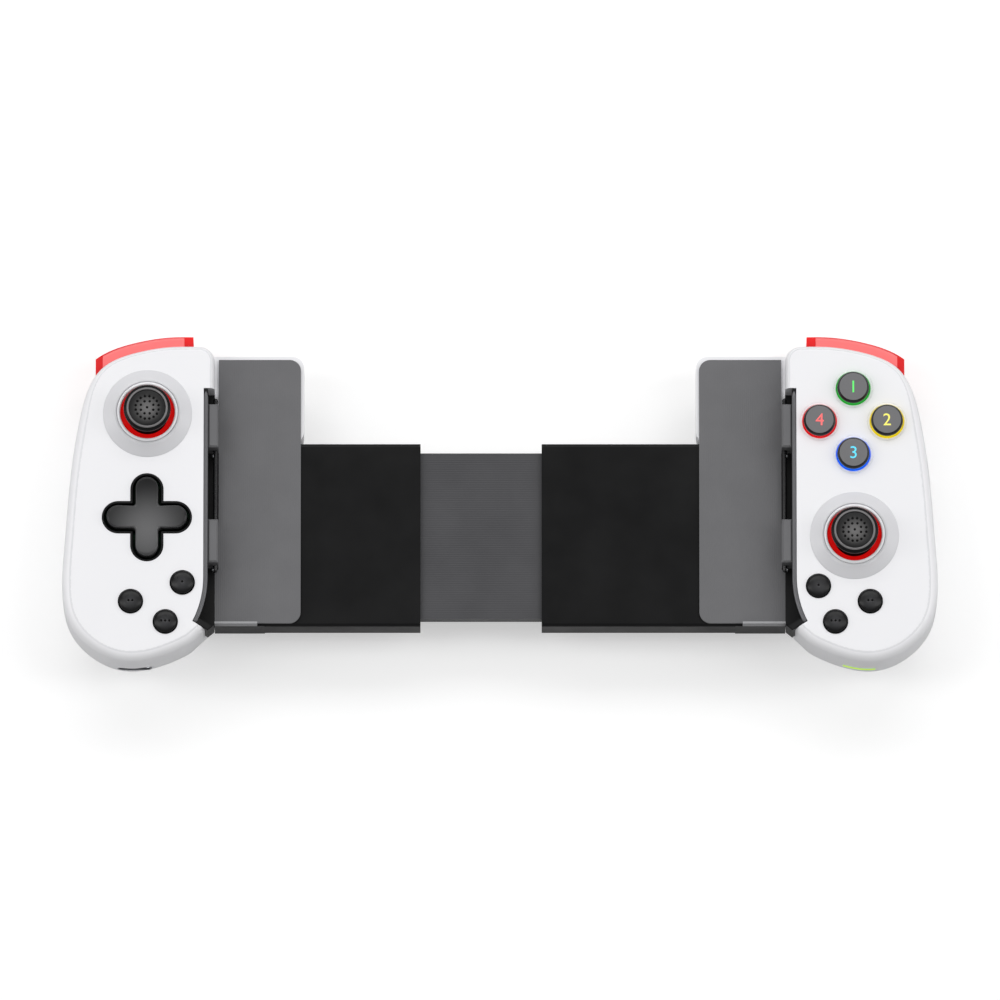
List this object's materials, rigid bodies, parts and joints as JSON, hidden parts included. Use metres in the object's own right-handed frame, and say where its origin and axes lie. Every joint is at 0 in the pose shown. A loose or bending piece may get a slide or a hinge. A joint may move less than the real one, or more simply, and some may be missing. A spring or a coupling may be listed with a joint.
{
  "type": "mobile_game_controller",
  "caption": "Telescoping game controller that clamps a phone between two moulded handles with thumbsticks, cross key, buttons, bumpers and triggers",
  "frame": {"origin": "centre of the overall box in X and Y, at the base: the flat crests of the two palm bulges", "axes": "+X towards the right handle, +Y towards the triggers, +Z out of the faces with the controls"},
  "size_m": [0.2286, 0.0888, 0.0375],
  "materials": {
    "white_shell": "matte moulded white",
    "collar_grey": "matte light grey",
    "black_plastic": "satin black",
    "bridge_black": "satin black",
    "plate_grey": "satin mid grey",
    "pad_rubber": "matte rubber",
    "stick_rubber": "matte rubber",
    "key_black": "semi gloss",
    "button_black": "semi gloss, mid grey printed face",
    "bumper_salmon": "semi gloss",
    "trigger_red": "semi gloss",
    "ring_red": "lit red ring",
    "ring_colours": "lit colours",
    "status_green": "lit green",
    "steel": "bright",
    "acetal": "natural acetal",
    "board_green": "solder mask",
    "battery_wrap": "foil wrap",
    "ribbon_amber": "polyimide film"
  },
  "bodies": {
    "bridge": {"centre_plate": "plate_grey", "centre_back_cover": "plate_grey", "return_springs": "steel", "flex_ribbon": "ribbon_amber"},
    "pinion": {"pinion_gear": "acetal"},
    "left_handle": {"left_rack": "acetal", "left_front_cover": "white_shell", "left_rear_shell": "white_shell", "left_clamp_bracket": "black_plastic", "left_grip_pads": "pad_rubber", "left_bridge_sleeve": "bridge_black", "left_circuit_board": "board_green", "left_stick_collar": "collar_grey", "left_stick_light_ring": "ring_red", "left_stick_module": "steel", "left_trigger_pin": "steel", "left_trigger_spring": "steel", "left_shell_screws": "steel", "left_cross_bezel": "black_plastic", "left_battery": "battery_wrap", "left_charging_port": "steel"},
    "right_handle": {"right_rack": "acetal", "right_front_cover": "white_shell", "right_rear_shell": "white_shell", "right_clamp_bracket": "black_plastic", "right_grip_pads": "pad_rubber", "right_bridge_sleeve": "bridge_black", "right_circuit_board": "board_green", "right_stick_collar": "collar_grey", "right_stick_light_ring": "ring_red", "right_stick_module": "steel", "right_trigger_pin": "steel", "right_trigger_spring": "steel", "right_shell_screws": "steel", "right_action_light_rings": "ring_colours", "right_status_light": "status_green"},
    "left_stick_carrier": {"left_stick_carrier": "acetal"},
    "left_stick_gimbal": {"left_stick_gimbal": "acetal"},
    "left_stick": {"left_stick_shaft": "acetal", "left_stick_cap": "stick_rubber"},
    "left_bumper": {"left_bumper": "bumper_salmon"},
    "left_trigger": {"left_trigger": "trigger_red"},
    "left_upper_button": {"left_upper_button": "key_black"},
    "left_outer_button": {"left_outer_button": "key_black"},
    "left_lower_button": {"left_lower_button": "key_black"},
    "right_stick_carrier": {"right_stick_carrier": "acetal"},
    "right_stick_gimbal": {"right_stick_gimbal": "acetal"},
    "right_stick": {"right_stick_shaft": "acetal", "right_stick_cap": "stick_rubber"},
    "right_bumper": {"right_bumper": "bumper_salmon"},
    "right_trigger": {"right_trigger": "trigger_red"},
    "right_upper_button": {"right_upper_button": "key_black"},
    "right_outer_button": {"right_outer_button": "key_black"},
    "right_lower_button": {"right_lower_button": "key_black"},
    "right_top_action_button": {"right_top_action_button": "button_black"},
    "right_inner_action_button": {"right_inner_action_button": "button_black"},
    "right_bottom_action_button": {"right_bottom_action_button": "button_black"},
    "right_outer_action_button": {"right_outer_action_button": "button_black"},
    "left_cross_pivot": {"left_cross_pivot": "acetal"},
    "left_cross_key": {"left_cross_key": "key_black"}
  },
  "joints": [
    {"name": "left_slide", "type": "slide", "parent": "bridge", "child": "left_handle", "axis": [-1, 0, 0], "range_m": [-0.0155, 0.013], "deforming": ["return_springs", "flex_ribbon"]},
    {"name": "right_slide", "type": "slide", "parent": "bridge", "child": "right_handle", "axis": [1, 0, 0], "range_m": [-0.0155, 0.013], "deforming": ["return_springs", "flex_ribbon"]},
    {"name": "pinion_spin", "type": "hinge", "parent": "bridge", "child": "pinion", "pos_m": [0, -0.00891, 0.01625], "axis": [0, 0, 1], "range_deg": [-150, 126]},
    {"name": "left_stick_press", "type": "slide", "parent": "left_handle", "child": "left_stick_carrier", "axis": [0, 0, -1], "range_m": [0, 0.0005], "stiffness_N_per_m": 600, "springref_m": -0.0005},
    {"name": "left_stick_tilt_fore", "type": "hinge", "parent": "left_stick_carrier", "child": "left_stick_gimbal", "pos_m": [-0.09211, 0.02145, 0.019], "axis": [1, 0, 0], "range_deg": [-12, 12], "stiffness_Nm_per_rad": 0.012},
    {"name": "left_stick_tilt_side", "type": "hinge", "parent": "left_stick_gimbal", "child": "left_stick", "pos_m": [-0.09211, 0.02145, 0.019], "axis": [0, 1, 0], "range_deg": [-12, 12], "stiffness_Nm_per_rad": 0.012},
    {"name": "left_bumper_press", "type": "hinge", "parent": "left_handle", "child": "left_bumper", "pos_m": [-0.0806, 0.03523, 0.024], "axis": [0, 0, 1], "range_deg": [0, 2.5], "stiffness_Nm_per_rad": 0.06, "springref_deg": -3.44},
    {"name": "left_trigger_pull", "type": "hinge", "parent": "left_handle", "child": "left_trigger", "pos_m": [-0.08899, 0.03698, 0.0173], "axis": [-0.9936, -0.1134, 0], "range_deg": [0, 14], "stiffness_Nm_per_rad": 0.02, "springref_deg": -14.32},
    {"name": "left_upper_press", "type": "slide", "parent": "left_handle", "child": "left_upper_button", "axis": [0, 0, -1], "range_m": [0, 0.0008], "stiffness_N_per_m": 300, "springref_m": -0.0005},
    {"name": "left_outer_press", "type": "slide", "parent": "left_handle", "child": "left_outer_button", "axis": [0, 0, -1], "range_m": [0, 0.0008], "stiffness_N_per_m": 300, "springref_m": -0.0005},
    {"name": "left_lower_press", "type": "slide", "parent": "left_handle", "child": "left_lower_button", "axis": [0, 0, -1], "range_m": [0, 0.0008], "stiffness_N_per_m": 300, "springref_m": -0.0005},
    {"name": "right_stick_press", "type": "slide", "parent": "right_handle", "child": "right_stick_carrier", "axis": [0, 0, -1], "range_m": [0, 0.0005], "stiffness_N_per_m": 600, "springref_m": -0.0005},
    {"name": "right_stick_tilt_fore", "type": "hinge", "parent": "right_stick_carrier", "child": "right_stick_gimbal", "pos_m": [0.09251, -0.01119, 0.019], "axis": [1, 0, 0], "range_deg": [-12, 12], "stiffness_Nm_per_rad": 0.012},
    {"name": "right_stick_tilt_side", "type": "hinge", "parent": "right_stick_gimbal", "child": "right_stick", "pos_m": [0.09251, -0.01119, 0.019], "axis": [0, 1, 0], "range_deg": [-12, 12], "stiffness_Nm_per_rad": 0.012},
    {"name": "right_bumper_press", "type": "hinge", "parent": "right_handle", "child": "right_bumper", "pos_m": [0.0806, 0.03523, 0.024], "axis": [0, 0, -1], "range_deg": [0, 2.5], "stiffness_Nm_per_rad": 0.06, "springref_deg": -3.44},
    {"name": "right_trigger_pull", "type": "hinge", "parent": "right_handle", "child": "right_trigger", "pos_m": [0.08899, 0.03698, 0.0173], "axis": [-0.9936, 0.1134, 0], "range_deg": [0, 14], "stiffness_Nm_per_rad": 0.02, "springref_deg": -14.32},
    {"name": "right_upper_press", "type": "slide", "parent": "right_handle", "child": "right_upper_button", "axis": [0, 0, -1], "range_m": [0, 0.0008], "stiffness_N_per_m": 300, "springref_m": -0.0005},
    {"name": "right_outer_press", "type": "slide", "parent": "right_handle", "child": "right_outer_button", "axis": [0, 0, -1], "range_m": [0, 0.0008], "stiffness_N_per_m": 300, "springref_m": -0.0005},
    {"name": "right_lower_press", "type": "slide", "parent": "right_handle", "child": "right_lower_button", "axis": [0, 0, -1], "range_m": [0, 0.0008], "stiffness_N_per_m": 300, "springref_m": -0.0005},
    {"name": "right_top_action_press", "type": "slide", "parent": "right_handle", "child": "right_top_action_button", "axis": [0, 0, -1], "range_m": [0, 0.001], "stiffness_N_per_m": 350, "springref_m": -0.0005},
    {"name": "right_inner_action_press", "type": "slide", "parent": "right_handle", "child": "right_inner_action_button", "axis": [0, 0, -1], "range_m": [0, 0.001], "stiffness_N_per_m": 350, "springref_m": -0.0005},
    {"name": "right_bottom_action_press", "type": "slide", "parent": "right_handle", "child": "right_bottom_action_button", "axis": [0, 0, -1], "range_m": [0, 0.001], "stiffness_N_per_m": 350, "springref_m": -0.0005},
    {"name": "right_outer_action_press", "type": "slide", "parent": "right_handle", "child": "right_outer_action_button", "axis": [0, 0, -1], "range_m": [0, 0.001], "stiffness_N_per_m": 350, "springref_m": -0.0005},
    {"name": "left_cross_tilt_fore", "type": "hinge", "parent": "left_handle", "child": "left_cross_pivot", "pos_m": [-0.09219, -0.00631, 0.0246], "axis": [1, 0, 0], "range_deg": [-4, 4], "stiffness_Nm_per_rad": 0.02},
    {"name": "left_cross_tilt_side", "type": "hinge", "parent": "left_cross_pivot", "child": "left_cross_key", "pos_m": [-0.09219, -0.00631, 0.0246], "axis": [0, 1, 0], "range_deg": [-4, 4], "stiffness_Nm_per_rad": 0.02}
  ],
  "couplings": [
    {"joint": "right_slide", "follows": "left_slide", "ratio": 1},
    {"joint": "pinion_spin", "follows": "left_slide", "rad_per_m": 166.67}
  ]
}
